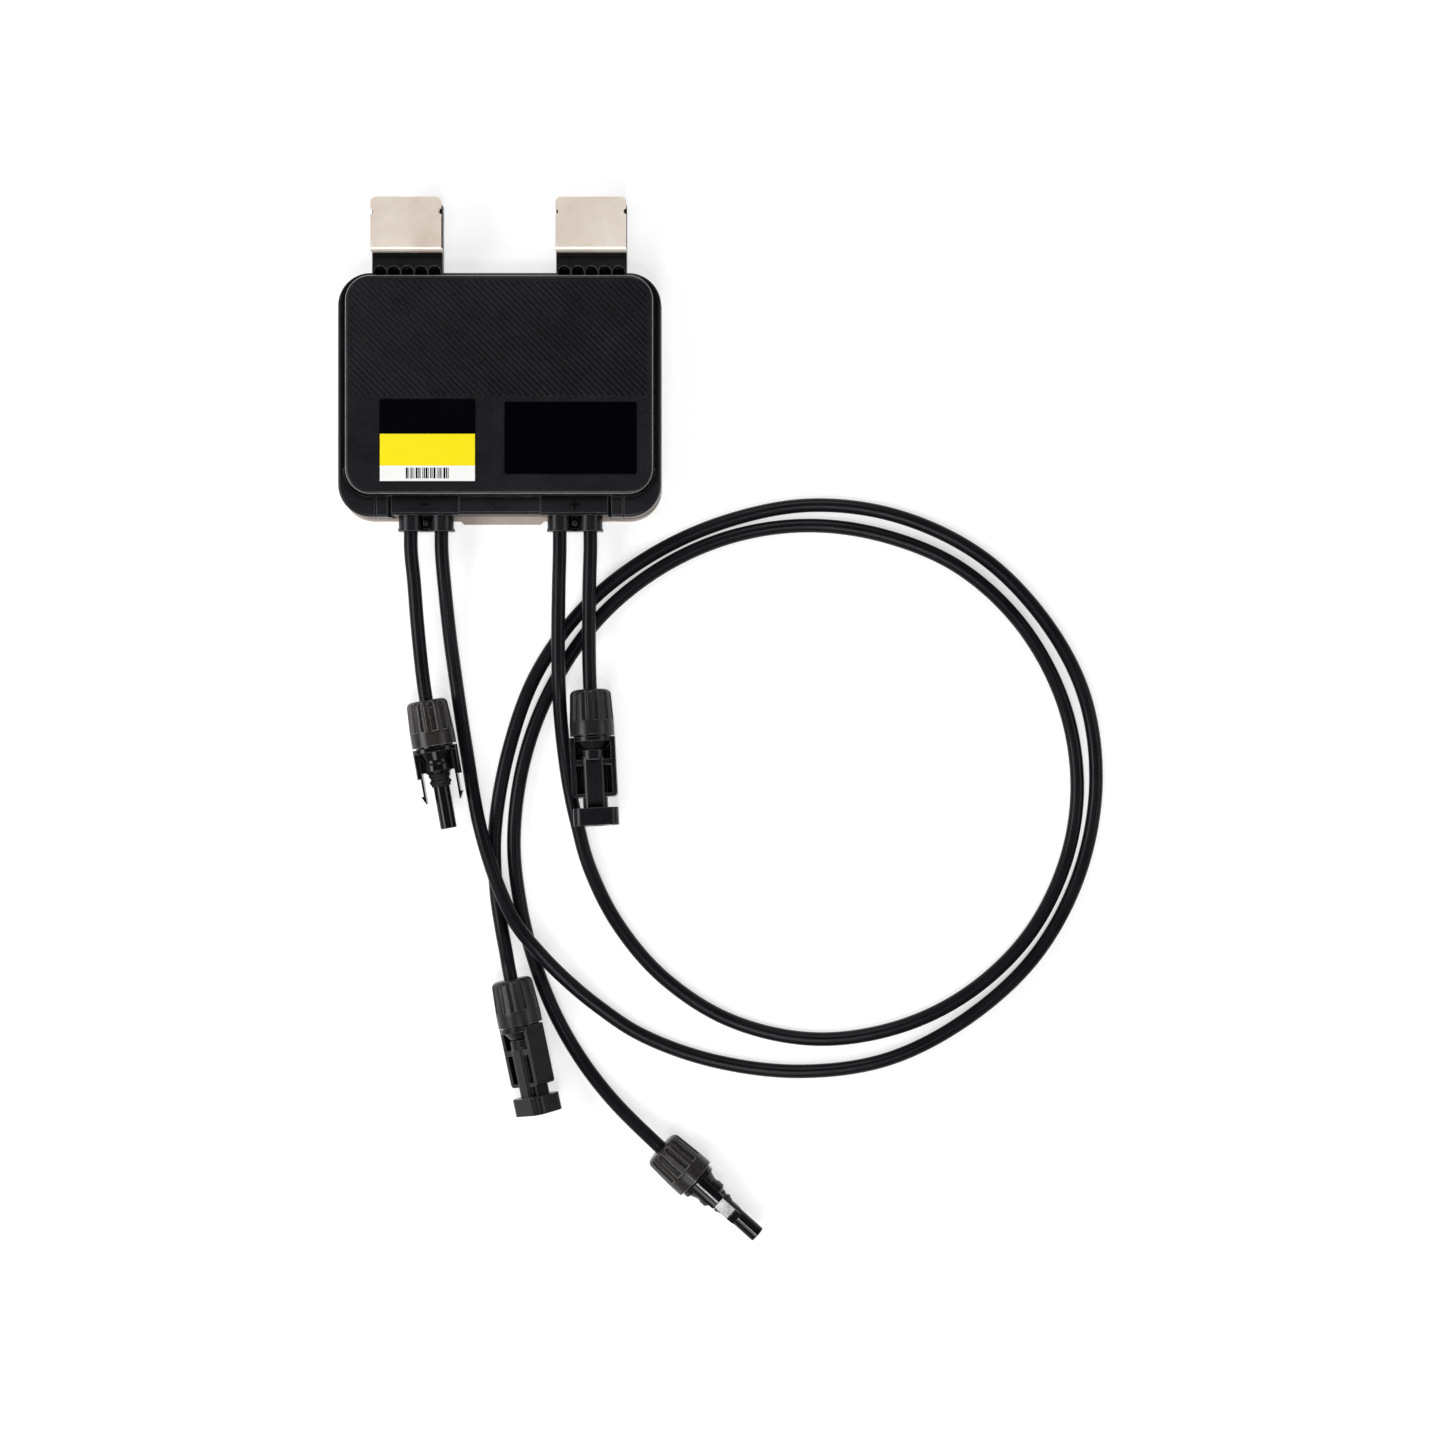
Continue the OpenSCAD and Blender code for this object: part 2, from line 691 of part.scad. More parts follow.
module clip_rivets() {
    color(steel) rivet_places() {
        translate([0, 0, foot_z]) cylinder(r1 = rivet_r, r2 = rivet_head_r, h = clip_t);
        translate([0, 0, tab_z - tab_t]) cylinder(r = rivet_r, h = tab_t + cut / 2);
        translate([0, 0, tab_z - tab_t - rivet_tail_h]) cylinder(r = rivet_head_r, h = rivet_tail_h);
    }
}

module rating_label() {
    color([0.9, 0.78, 0.02]) translate([rating_right_x - rating_w / 2, rating_top_y - rating_l / 2, body_h])
        slab(rating_w, rating_l, label_r, label_t);
}

module dark_label() {
    color([0.02, 0.02, 0.03]) translate([dark_left_x + dark_w / 2, dark_top_y - dark_l / 2, body_h])
        slab(dark_w, dark_l, label_r, label_t);
}

// Section of a front edge that is bevelled towards the leads
module bevelled_section(low_y, high_y, top_z, bevel) {
    polygon([
        [low_y, plate_t], [high_y, plate_t], [high_y, top_z], [low_y + bevel, top_z], [low_y, top_z - bevel]
    ]);
}

// Moulded block that carries two leads, drawn at the middle of the housing
module lead_block() {
    flange_w = lead_pitch + boss_d + 2 * boss_flange_out;
    color(black) difference() {
        union() {
            translate([-block_w / 2, 0, 0]) rotate([90, 0, 90]) linear_extrude(block_w)
                bevelled_section(block_bottom_y, row_y, block_z, row_bevel);
            translate([-spigot_w / 2, row_y - cut, lead_z - spigot_h / 2])
                cube([spigot_w, wall + spigot_in + cut, spigot_h]);
            for (x = [-1, 1]) {
                translate([x * lead_pitch / 2, block_bottom_y + cut, lead_z]) rotate([90, 0, 0])
                    cylinder(d = boss_d, h = block_bottom_y + cut - exit_y);
            }
            translate([-lead_pitch / 2, exit_y, lead_z - boss_d / 2])
                cube([lead_pitch, block_bottom_y + cut - exit_y, boss_web_h]);
            translate([-flange_w / 2, exit_y, lead_z - boss_d / 2])
                cube([flange_w, boss_flange_t, boss_d / 2 + cut]);
            translate([0, (block_bottom_y + exit_y) / 2, lead_z - boss_d / 2])
                cylinder(r = boss_post_r, h = boss_d - 2);
        }
        for (x = [-1, 1]) {
            translate([x * lead_pitch / 2, exit_y + boss_seat, lead_z]) rotate([90, 0, 0])
                cylinder(r = lead_d / 2 + cable_clear, h = boss_seat + cut);
        }
    }
}

module negative_lead_block() {
    translate([-block_x, 0, 0]) lead_block();
}

module positive_lead_block() {
    translate([block_x, 0, 0]) lead_block();
}

// Circuit board and what it carries
module circuit_board() {
    color([0.05, 0.25, 0.12]) difference() {
        translate([0, cavity_y, board_z]) slab(board_w, board_l, 2, board_t);
        for (p = board_posts) {
            translate([p[0], p[1], board_z - cut])
                cylinder(r = screw_r + screw_clear, h = board_t + 2 * cut);
        }
    }
}

module board_screws() {
    color(steel) for (p = board_posts) {
        translate([p[0], p[1], 0]) difference() {
            union() {
                translate([0, 0, board_z - board_screw_head_h])
                    cylinder(r = board_screw_head_r, h = board_screw_head_h);
                translate([0, 0, board_z - cut])
                    cylinder(r = screw_r, h = board_t + board_screw_l + cut - fit);
            }
            for (turn = [0, 90]) {
                rotate([0, 0, turn]) screw_slot(board_z - board_screw_head_h);
            }
        }
    }
}

module inductor_core() {
    color([0.25, 0.25, 0.27]) translate([drum_x, cavity_y, board_top]) {
        cylinder(d = drum_d, h = drum_flange);
        cylinder(r = drum_post_r, h = drum_h);
        translate([0, 0, drum_h - drum_flange]) cylinder(d = drum_d, h = drum_flange);
    }
}

module inductor_coil() {
    coil_h = drum_h - 2 * drum_flange;
    wire_r = coil_h / coil_turns / 2;
    coil_r = drum_d / 2 - 2 * wire_r;
    color([0.72, 0.4, 0.18]) translate([drum_x, cavity_y, board_top + drum_flange]) rotate_extrude() {
        translate([drum_post_r + slip, 0]) square([coil_r - drum_post_r - slip, coil_h]);
        for (i = [0 : coil_turns - 1]) {
            translate([coil_r, (2 * i + 1) * wire_r]) circle(wire_r * 0.96);
        }
    }
}

// A box that stands on the board, placed from the board's middle
module on_board(at, size) {
    translate([at[0], cavity_y + at[1], board_top]) cube(size);
}

module power_transistors() {
    color([0.08, 0.08, 0.08]) for (i = [0 : transistor_n - 1]) {
        translate([transistor_at[0] + i * transistor_pitch, cavity_y + transistor_at[1],
                board_z - transistor_size[2]])
            cube(transistor_size);
    }
}

module thermal_pad() {
    pad_w = (transistor_n - 1) * transistor_pitch + transistor_size[0] + 2 * pad_margin;
    pad_l = transistor_size[1] + 2 * pad_margin;
    color([0.55, 0.6, 0.7])
        translate([transistor_at[0] - pad_margin, cavity_y + transistor_at[1] - pad_margin, plate_t])
            cube([pad_w, pad_l, board_z - transistor_size[2] - plate_t]);
}

module film_capacitors() {
    color([0.75, 0.25, 0.1]) for (i = [0 : capacitor_n - 1]) {
        on_board(capacitor_at + [i * capacitor_pitch, 0], capacitor_size);
    }
}

module control_chip() {
    color([0.08, 0.08, 0.08]) on_board(chip_at, chip_size);
}

module radio_module() {
    color([0.7, 0.7, 0.7]) on_board(radio_at, radio_size);
}

module bypass_diode() {
    color([0.08, 0.08, 0.08]) on_board(diode_at, diode_size);
}

// Bent strips from the lead blocks' spigots down to the board
module lead_terminals() {
    start = row_y + wall + spigot_in;
    reach = cavity_y - board_l / 2 + strip_overlap - start;
    strip_z = board_top + strip_rise;
    color([0.8, 0.6, 0.25]) for (side = [-1, 1], x = [-1, 1]) {
        translate([side * block_x + x * lead_pitch / 2 - strip_w / 2, start, 0])
            rotate([90, 0, 90]) linear_extrude(strip_w) polygon([
                [0, strip_z - strip_t / 2], [reach - strip_t, strip_z - strip_t / 2],
                [reach - strip_t, board_top], [reach, board_top],
                [reach, strip_z + strip_t / 2], [0, strip_z + strip_t / 2]
            ]);
    }
}

// Direction and places of a connector's axis
function heading_of(rest) = [
    cos(rest[1]) * cos(rest[2]), sin(rest[1]) * cos(rest[2]), sin(rest[2])
];
function along(rest, x) = rest[0] + x * heading_of(rest);

module at_rest(rest) {
    translate(rest[0]) rotate([rest[3], -rest[2], rest[1]]) children();
}

// Turns a revolved form about Z into one about the connector's axis
module lengthwise() {
    rotate([0, 90, 0]) children();
}

module rod(r, from, to) {
    translate([from, 0, 0]) lengthwise() cylinder(r = r, h = to - from);
}

module cap_nut(rest) {
    bore_r = lead_d / 2 + cable_clear;
    inner_r = neck_r + fit;
    outline = concat(
        [[bore_r, 0]],
        clip_arc(nut_end_r - nut_round, nut_round, nut_round, -90, 0),
        [[nut_d / 2, nut_l - nut_collar_l], [nut_d / 2, nut_l], [inner_r, nut_l],
         [inner_r, nut_cap_t], [bore_r, nut_cap_t]]
    );
    cone_l = nut_l - nut_collar_l - nut_round;
    flare = atan((nut_d / 2 - nut_end_r) / cone_l);
    color(black) at_rest(rest) lengthwise() difference() {
        rotate_extrude() polygon(outline);
        for (i = [0 : nut_groove_n - 1]) {
            rotate([0, 0, (i + 0.5) * 360 / nut_groove_n])
                translate([nut_end_r + nut_groove_r - nut_groove_depth, 0, nut_round]) rotate([0, flare, 0])
                    translate([0, 0, -nut_round - cut])
                        cylinder(r = nut_groove_r, h = nut_l - nut_collar_l - nut_groove_land + cut);
        }
    }
}

module gland(rest) {
    color(rubber_black) at_rest(rest) lengthwise() translate([0, 0, gland_x]) difference() {
        cylinder(r = neck_r - neck_wall - slip, h = crimp_x - gland_x);
        translate([0, 0, -cut]) cylinder(r = lead_d / 2 + slip, h = crimp_x - gland_x + 2 * cut);
    }
}

// Turned contact with a crimp barrel at the cable's end
module contact(rest, tip) {
    color([0.8, 0.75, 0.6]) at_rest(rest) {
        rod(crimp_r, crimp_x, shell_x);
        rod(contact_r, crimp_x, tip);
    }
}

// Threaded neck with the pocket of the gland
module neck() {
    difference() {
        rod(neck_r, neck_x, shell_x + cut);
        rod(neck_r - neck_wall, neck_x - cut, crimp_x);
    }
}

module rounded_block(w, t, r, from, to) {
    translate([from, 0, 0]) lengthwise() linear_extrude(to - from) rounded_rect(t, w, r);
}

// Round core of a plug: cone, waist, ring and nose
module plug_core() {
    ring_x = plug_core_l - plug_ring_l - plug_bevel;
    translate([shell_x, 0, 0]) lengthwise() rotate_extrude() polygon([
        [0, 0], [plug_core_r, 0], [plug_waist_r, plug_cone_l], [plug_waist_r, ring_x],
        [plug_ring_r, ring_x + plug_bevel], [plug_ring_r, plug_core_l - 2 * plug_bevel],
        [plug_nose_r, plug_core_l], [0, plug_core_l]
    ]);
}

module plug(rest) {
    color(black) at_rest(rest) difference() {
        union() {
            neck();
            rounded_block(shell_w, plug_collar_t, plug_collar_r, shell_x, shell_x + collar_l);
            plug_core();
            rod(seal_seat_r, plug_end - cut, plug_end + seal_l_probe + cut);
            rod(probe_d / 2, plug_end + seal_l_probe, probe_end);
            translate([shell_x, -shell_w / 2 + cut, -plug_web_t / 2])
                cube([plug_core_l - cut, shell_w - 2 * cut, plug_web_t]);
            for (side = [-1, 1]) {
                intersection() {
                    translate([shell_x, side > 0 ? finger_y : -shell_w / 2 - cut, -plug_rail_h / 2])
                        cube([plug_rail_l, plug_rail_t + cut, plug_rail_h]);
                    rod(shell_w / 2, shell_x - cut, plug_rail_end + cut);
                }
                mirror([0, side > 0 ? 0 : 1, 0]) translate([0, 0, -finger_h / 2])
                    linear_extrude(finger_h) finger_outline();
            }
        }
        rod(contact_bore_r, neck_x, probe_end + cut);
    }
}

// Locking finger with its barb, seen along its width
module finger_outline() {
    tip = plug_rail_end + finger_l;
    root = plug_rail_end - finger_root;
    polygon([
        [root, finger_y], [tip, finger_y], [tip, finger_y + barb_tip],
        [tip - barb_l, finger_y + finger_t + barb_h], [tip - barb_l, finger_y + finger_t],
        [root, finger_y + finger_t]
    ]);
}

module probe_seal(rest) {
    bore = seal_seat_r + slip / 2;
    lip = seal_lip_r;
    root = probe_d / 2 + 0.6;
    step = (seal_l_probe - slip) / 4;
    color(rubber_black) at_rest(rest) translate([plug_end, 0, 0]) lengthwise() rotate_extrude()
        polygon([
            [bore, 0], [lip - 0.2, 0], [lip, step * 0.6], [root, step * 1.4], [root, step * 1.8],
            [lip, step * 2.4], [lip - 0.2, step * 3], [root, step * 3.4], [root, step * 4], [bore, step * 4]
        ]);
}

// Outline of a socket's side rails and cross bars, with the windows between them
module socket_frame() {
    window_w = shell_w / 2 - socket_rail_t;
    upper = socket_bar_x - shell_x;
    lower = upper + socket_bar_l;
    difference() {
        union() {
            translate([0, -shell_w / 2]) square([socket_rail_l - socket_rail_r, shell_w]);
            translate([0, socket_rail_r - shell_w / 2]) square([socket_rail_l, shell_w - 2 * socket_rail_r]);
            for (side = [-1, 1]) {
                translate([socket_rail_l - socket_rail_r, side * (shell_w / 2 - socket_rail_r)])
                    circle(socket_rail_r);
            }
        }
        for (x = [[collar_l, upper], [lower, socket_rail_l - socket_end_bar]]) {
            translate([x[0], -window_w]) square([x[1] - x[0], 2 * window_w]);
        }
    }
}

module socket(rest) {
    color(black) at_rest(rest) difference() {
        union() {
            neck();
            rod(shell_w / 2 - socket_collar_in, shell_x, shell_x + collar_l);
            translate([shell_x, 0, 0]) lengthwise()
                cylinder(r1 = shell_w / 2 - socket_collar_in, r2 = socket_body / 2, h = socket_cone_l);
            rod(socket_ring_r, shell_x + socket_cone_l, socket_bar_x);
            rounded_block(socket_body, socket_body, socket_body_r, socket_bar_x - cut, socket_end);
            rounded_block(shell_w, shell_t, socket_corner_r, socket_end - socket_block_l, socket_end);
            translate([shell_x, 0, -socket_rail_h / 2]) linear_extrude(socket_rail_h) socket_frame();
            translate([shell_x + collar_l - cut, -shell_w / 2 + cut, -socket_web_t / 2])
                cube([socket_rail_l - collar_l, shell_w - 2 * cut, socket_web_t]);
        }
        rod(contact_bore_r, neck_x, socket_end);
        rod(probe_d / 2 + probe_room, socket_end - socket_bore_l, socket_end + cut);
        rod(seal_lip_r + slip, socket_end - seal_l_probe, socket_end + cut);
        for (side = [-1, 1]) {
            translate([socket_end - socket_block_l - cut,
                    side * (finger_y + finger_t / 2) - finger_slot_t / 2, -finger_slot_h / 2])
                cube([socket_block_l + 2 * cut, finger_slot_t, finger_slot_h]);
        }
    }
}

// Route of a lead from its boss to its connector
function lead_route(x, points, rest) = concat(
    [[x, exit_y + boss_seat, lead_z], [x, exit_y - lead_straight, lead_z]],
    points,
    [along(rest, -lead_straight / 2), along(rest, crimp_x - slip / 2)]
);

function unit(v) = v / norm(v);
function tangent(route, i) = unit(route[min(i + 1, len(route) - 1)] - route[max(i - 1, 0)]);

// One ring of points round a route point
function ring(route, i) = let (
    t = tangent(route, i),
    side = unit(cross(t, [0, 0, 1])),
    up = cross(side, t)
) [for (k = [0 : lead_sides - 1]) let (a = 360 * k / lead_sides)
    route[i] + lead_d / 2 * (cos(a) * side + sin(a) * up)];

// Closed tube swept along a route
module lead(route) {
    rings = len(route);
    points = [for (i = [0 : rings - 1]) each ring(route, i)];
    last = (rings - 1) * lead_sides;
    sides = [for (i = [0 : rings - 2], k = [0 : lead_sides - 1]) let (
        a = i * lead_sides + k,
        b = i * lead_sides + (k + 1) % lead_sides
    ) each [[a, b, b + lead_sides], [a, b + lead_sides, a + lead_sides]]];
    start = [for (k = [0 : lead_sides - 1]) lead_sides - 1 - k];
    finish = [for (k = [0 : lead_sides - 1]) last + k];
    color(rubber_black) polyhedron(points, concat(sides, [start], [finish]));
}

housing();
rear_plate();
plate_gasket();
plate_screws();
left_frame_clip();
right_frame_clip();
clip_rivets();
rating_label();
dark_label();
negative_lead_block();
positive_lead_block();
circuit_board();
board_screws();
inductor_core();
inductor_coil();
power_transistors();
thermal_pad();
film_capacitors();
control_chip();
radio_module();
bypass_diode();
lead_terminals();
lead(lead_route(-block_x - lead_pitch / 2, negative_input_route, negative_input_rest));  // negative_input_lead
lead(lead_route(-block_x + lead_pitch / 2, negative_output_route, negative_output_rest));  // negative_output_lead
lead(lead_route(block_x + lead_pitch / 2, positive_input_route, positive_input_rest));  // positive_input_lead
lead(lead_route(block_x - lead_pitch / 2, positive_output_route, positive_output_rest));  // positive_output_lead
cap_nut(negative_input_rest);  // negative_input_nut
plug(negative_input_rest);  // negative_input_plug
gland(negative_input_rest);  // negative_input_gland
contact(negative_input_rest, probe_end - plug_recess);  // negative_input_contact
probe_seal(negative_input_rest);  // negative_input_seal
cap_nut(positive_input_rest);  // positive_input_nut
socket(positive_input_rest);  // positive_input_socket
gland(positive_input_rest);  // positive_input_gland
contact(positive_input_rest, socket_end - socket_recess);  // positive_input_contact
cap_nut(negative_output_rest);  // negative_output_nut
socket(negative_output_rest);  // negative_output_socket
gland(negative_output_rest);  // negative_output_gland
contact(negative_output_rest, socket_end - socket_recess);  // negative_output_contact
cap_nut(positive_output_rest);  // positive_output_nut
plug(positive_output_rest);  // positive_output_plug
gland(positive_output_rest);  // positive_output_gland
contact(positive_output_rest, probe_end - plug_recess);  // positive_output_contact
probe_seal(positive_output_rest);  // positive_output_seal
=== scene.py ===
"""Looks of a solar power optimizer: camera, leads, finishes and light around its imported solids."""

import bpy
import numpy as np
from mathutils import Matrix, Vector


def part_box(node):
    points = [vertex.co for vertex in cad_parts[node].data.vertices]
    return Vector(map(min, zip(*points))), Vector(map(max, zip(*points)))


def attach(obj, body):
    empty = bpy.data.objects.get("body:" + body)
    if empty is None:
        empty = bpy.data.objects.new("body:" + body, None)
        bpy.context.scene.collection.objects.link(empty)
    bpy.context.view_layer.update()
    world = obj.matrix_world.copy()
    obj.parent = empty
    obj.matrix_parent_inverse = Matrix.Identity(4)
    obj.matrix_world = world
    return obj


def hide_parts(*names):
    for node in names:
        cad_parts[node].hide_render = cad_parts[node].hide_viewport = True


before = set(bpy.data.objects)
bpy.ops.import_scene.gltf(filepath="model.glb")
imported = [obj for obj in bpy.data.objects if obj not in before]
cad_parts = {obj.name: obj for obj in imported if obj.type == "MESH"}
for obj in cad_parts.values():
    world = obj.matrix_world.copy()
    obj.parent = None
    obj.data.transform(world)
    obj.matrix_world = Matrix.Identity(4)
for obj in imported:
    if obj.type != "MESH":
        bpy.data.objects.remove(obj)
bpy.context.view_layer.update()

MM = 0.001


# Camera: straight above the table, image upright along +Y

SENSOR_WIDTH = 36
LENS = 69.14
CAMERA_PLACE = (0.0944, -0.15195, 1.2)


def plan_camera():
    """Long lens above the table that looks straight down."""
    data = bpy.data.cameras.new("plan_camera")
    data.sensor_width = SENSOR_WIDTH
    data.lens = LENS
    data.clip_start = 0.01
    camera = bpy.data.objects.new("plan_camera", data)
    camera.location = CAMERA_PLACE
    bpy.context.scene.collection.objects.link(camera)
    bpy.context.scene.camera = camera


plan_camera()


# Meshes from whole arrays

def grid_mesh(name, points, wrap=False, cap=False):
    """Object of a grid of points [u, v, xyz]. Neighbours make quads; wrap joins the last column to the
    first, and cap closes the first and last row by one face each."""
    rows, cols = points.shape[:2]
    index = np.arange(rows * cols).reshape(rows, cols)
    low, high = index[:-1], index[1:]
    if wrap:
        low_next, high_next = np.roll(low, -1, axis=1), np.roll(high, -1, axis=1)
    else:
        low, low_next = low[:, :-1], low[:, 1:]
        high, high_next = high[:, :-1], high[:, 1:]
    faces = np.stack([low, high, high_next, low_next], axis=-1).reshape(-1, 4).tolist()
    if cap:
        faces += [index[0].tolist(), index[-1, ::-1].tolist()]
    mesh = bpy.data.meshes.new(name)
    mesh.from_pydata(points.reshape(-1, 3), [], faces)
    mesh.polygons.foreach_set("use_smooth", np.ones(len(mesh.polygons), dtype=bool))
    mesh.update()
    piece = bpy.data.objects.new(name, mesh)
    bpy.context.scene.collection.objects.link(piece)
    return piece


def dress(piece, material):
    """Puts one material on a piece."""
    piece.data.materials.clear()
    piece.data.materials.append(material)


def box_mm(node):
    """Lowest and highest corner of a node's box in millimetres."""
    low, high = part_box(node)
    return np.array(low) / MM, np.array(high) / MM


# Leads: their route points are those of the part's source, in millimetres

# Each connector's axis: its start, its heading and its upward tilt in degrees
HEADING = {
    "negative_input": ((-32, -143.5, 9.6), -80, 0),
    "positive_input": ((38.5, -139, 9.35), -87, 4),
    "negative_output": ((4.5, -263.5, 10.05), -78, 1.5),
    "positive_output": ((69, -336, 9.75), -42, 0),
}
BLOCK_X = 32
LEAD_PITCH = 13.2
EXIT_X = {
    "negative_input": -BLOCK_X - LEAD_PITCH / 2,
    "negative_output": -BLOCK_X + LEAD_PITCH / 2,
    "positive_output": BLOCK_X - LEAD_PITCH / 2,
    "positive_input": BLOCK_X + LEAD_PITCH / 2,
}
ROUTE = {
    "negative_input": [(-37.4, -92, 9.2), (-36, -110, 9), (-34.2, -128, 9.3)],
    "positive_input": [(38.2, -92, 9.6), (38, -108, 9.5), (38, -122, 9.5)],
    "negative_output": [
        (-24.2, -95, 8.4), (-22.4, -115, 5.2), (-20, -134, 3.4), (-17.4, -152, 3.1), (-14.6, -169, 4.1),
        (-12, -184, 6.8), (-9, -198, 9.2), (-5, -212, 9.7), (0, -226, 9.8), (6.5, -239.5, 9.7),
        (16, -251.5, 9.3), (28, -264, 7), (42, -276, 4.2), (60, -288, 3.1), (90, -299, 3.1),
        (128, -304, 3.1), (166, -299, 3.1), (200, -282, 3.1), (230, -255, 3.1), (249, -221, 3.1),
        (257, -182, 3.1), (252.5, -143, 3.1), (236, -110.5, 3.1), (208, -81.5, 3.1), (172, -64, 3.1),
        (134, -59, 3.1), (97, -66, 3.1), (64, -81, 3.1), (36, -103, 3.1), (15, -132, 3.1),
        (3, -165, 3.1), (-3, -200, 3.1), (-2.4, -226, 3.1), (-0.2, -241, 4.2), (2, -251.5, 7.2)],
    "positive_output": [
        (25, -95, 9.7), (24.7, -118, 9.7), (25, -136, 9.5), (25.6, -150, 7.4), (26.8, -164, 4.6),
        (29, -180, 3.2), (32.4, -196, 3.1), (38, -216, 3.1), (50, -240, 3.1), (70, -263.5, 3.1),
        (99, -282, 3.1), (135, -290, 3.1), (171, -285, 3.1), (202, -270, 3.1), (228, -245, 3.1),
        (244, -213, 3.1), (249, -180, 3.1), (243, -144.5, 3.1), (225, -111, 3.1), (198, -86, 3.1),
        (166, -72.4, 3.1), (133, -67.8, 3.1), (100, -72.4, 3.1), (69, -86, 3.1), (42, -108, 3.1),
        (21.5, -138, 3.1), (9.5, -170, 3.1), (5.2, -204, 3.1), (8, -232, 3.1), (14, -256, 3.1),
        (23, -279, 3.1), (34.5, -299, 3.3), (48, -316, 5.6)],
}
ENDS = {"negative_input": "plug", "positive_output": "plug",
        "positive_input": "socket", "negative_output": "socket"}
# Mouth and height of the bosses, how deep a lead sits in its boss, and its straight way out of it
EXIT_Y = -70.85
LEAD_Z = 9.8
SEAT = 4
STRAIGHT = 8
# From the start of a connector's axis to the crimp in its contact
CRIMP = 13.95
LEAD_R = 3.0
TABLE_GAP = 0.02
ROUTE_STEP = 1.5
JACKET_SIDES = 20


def axis_of(lead):
    """Start and unit direction of a connector's axis from its heading and upward tilt."""
    start, heading, tilt = HEADING[lead]
    h, t = np.radians(heading), np.radians(tilt)
    return np.array(start, float), np.array([np.cos(h) * np.cos(t), np.sin(h) * np.cos(t), np.sin(t)])


def route_points(lead):
    """Seat in the boss, a straight way out, the listed points, and a straight way into the connector."""
    start, way = axis_of(lead)
    x = EXIT_X[lead]
    first = [(x, EXIT_Y + SEAT, LEAD_Z), (x, EXIT_Y - STRAIGHT, LEAD_Z)]
    last = [start - way * STRAIGHT / 2, start + way * CRIMP]
    return np.vstack([first, ROUTE[lead], last])


def smooth_route(points):
    """Centripetal spline through the points: on each span a cubic whose end slopes come from the
    neighbours, weighted by the square roots of the distances, sampled at about the route's step."""
    ends = np.vstack([2 * points[0] - points[1], points, 2 * points[-1] - points[-2]])
    gap = np.sqrt(np.linalg.norm(np.diff(ends, axis=0), axis=1))[:, None]
    d = np.diff(ends, axis=0)
    slope = d[:-1] / gap[:-1] - (d[:-1] + d[1:]) / (gap[:-1] + gap[1:]) + d[1:] / gap[1:]
    out = []
    for i in range(len(points) - 1):
        a, b, g = points[i], points[i + 1], gap[i + 1]
        count = max(2, int(np.linalg.norm(b - a) / ROUTE_STEP))
        t = (np.arange(count) / count)[:, None]
        out.append((2 * t**3 - 3 * t**2 + 1) * a + (t**3 - 2 * t**2 + t) * slope[i] * g
                   + (3 * t**2 - 2 * t**3) * b + (t**3 - t**2) * slope[i + 1] * g)
    line = np.vstack(out + [points[-1:]])
    line[:, 2] = np.maximum(line[:, 2], LEAD_R + TABLE_GAP)
    return line


def tube(name, line, radius, sides):
    """Tube round a line: each ring lies across the line's direction, spanned by a level side vector and an
    up vector. Two attributes keep the length along the lead and the turn round it."""
    way = np.gradient(line, axis=0)
    way /= np.linalg.norm(way, axis=1)[:, None]
    side = np.cross(way, [0, 0, 1])
    side /= np.linalg.norm(side, axis=1)[:, None]
    up = np.cross(side, way)
    turn = np.linspace(0, 2 * np.pi, sides, endpoint=False)
    rings = (line[:, None, :] + radius * (np.cos(turn)[None, :, None] * side[:, None, :]
                                          + np.sin(turn)[None, :, None] * up[:, None, :]))
    piece = grid_mesh(name, rings * MM, wrap=True, cap=True)
    along = np.concatenate([[0], np.cumsum(np.linalg.norm(np.diff(line, axis=0), axis=1))])
    for key, values in (("along", np.repeat(along, sides) * MM), ("turn", np.tile(turn, len(line)))):
        layer = piece.data.attributes.new(key, "FLOAT", "POINT")
        layer.data.foreach_set("value", values.astype(np.float32))
    return piece


def lay_lead(lead):
    """Jacket along a lead's route, in place of its plain solid, with the connector on its far end."""
    line = smooth_route(route_points(lead))
    piece = tube(lead + "_jacket", line, LEAD_R, JACKET_SIDES)
    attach(piece, "root")
    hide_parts(lead + "_lead")
    return piece


jackets = [lay_lead(lead) for lead in ROUTE]


# Materials: lengths in metres, noise scales per metre

NOISE_LOW = 0.3
NOISE_HIGH = 0.7
EDGE_SAMPLES = 6
SKY_SAMPLES = 12
# Reach of the pale edges, which are partly rubbed wear and partly painted highlight.
PALE_EDGE_REACH = 0.0004
BELOW_RIM = 0.45
# Reach of the painted shade in grooves, measured as the share of the sky seen.
GROOVE_SHADE_REACH = 0.0035
FINE_GRAIN = 0.000008
# Near-black tone painted into grooves, flutes and gaps as shade.
PAINTED_GROOVE_SHADE = (0.0008, 0.0008, 0.0012)


def new_material(name):
    """Empty node material with one Principled shader; returns material, nodes, links and shader."""
    material = bpy.data.materials.new(name)
    material.use_nodes = True
    nodes, links = material.node_tree.nodes, material.node_tree.links
    return material, nodes, links, nodes["Principled BSDF"]


def object_place(nodes, links, stretch=(1, 1, 1)):
    """Object coordinates scaled by stretch."""
    place = nodes.new("ShaderNodeTexCoord")
    mapping = nodes.new("ShaderNodeMapping")
    mapping.inputs["Scale"].default_value = stretch
    links.new(place.outputs["Object"], mapping.inputs["Vector"])
    return mapping.outputs["Vector"]


def noise(nodes, links, vector, scale, detail=3.0, rough=0.55):
    """Noise of a given frequency per metre."""
    node = nodes.new("ShaderNodeTexNoise")
    node.inputs["Scale"].default_value = scale
    node.inputs["Detail"].default_value = detail
    node.inputs["Roughness"].default_value = rough
    links.new(vector, node.inputs["Vector"])
    return node.outputs["Fac"]


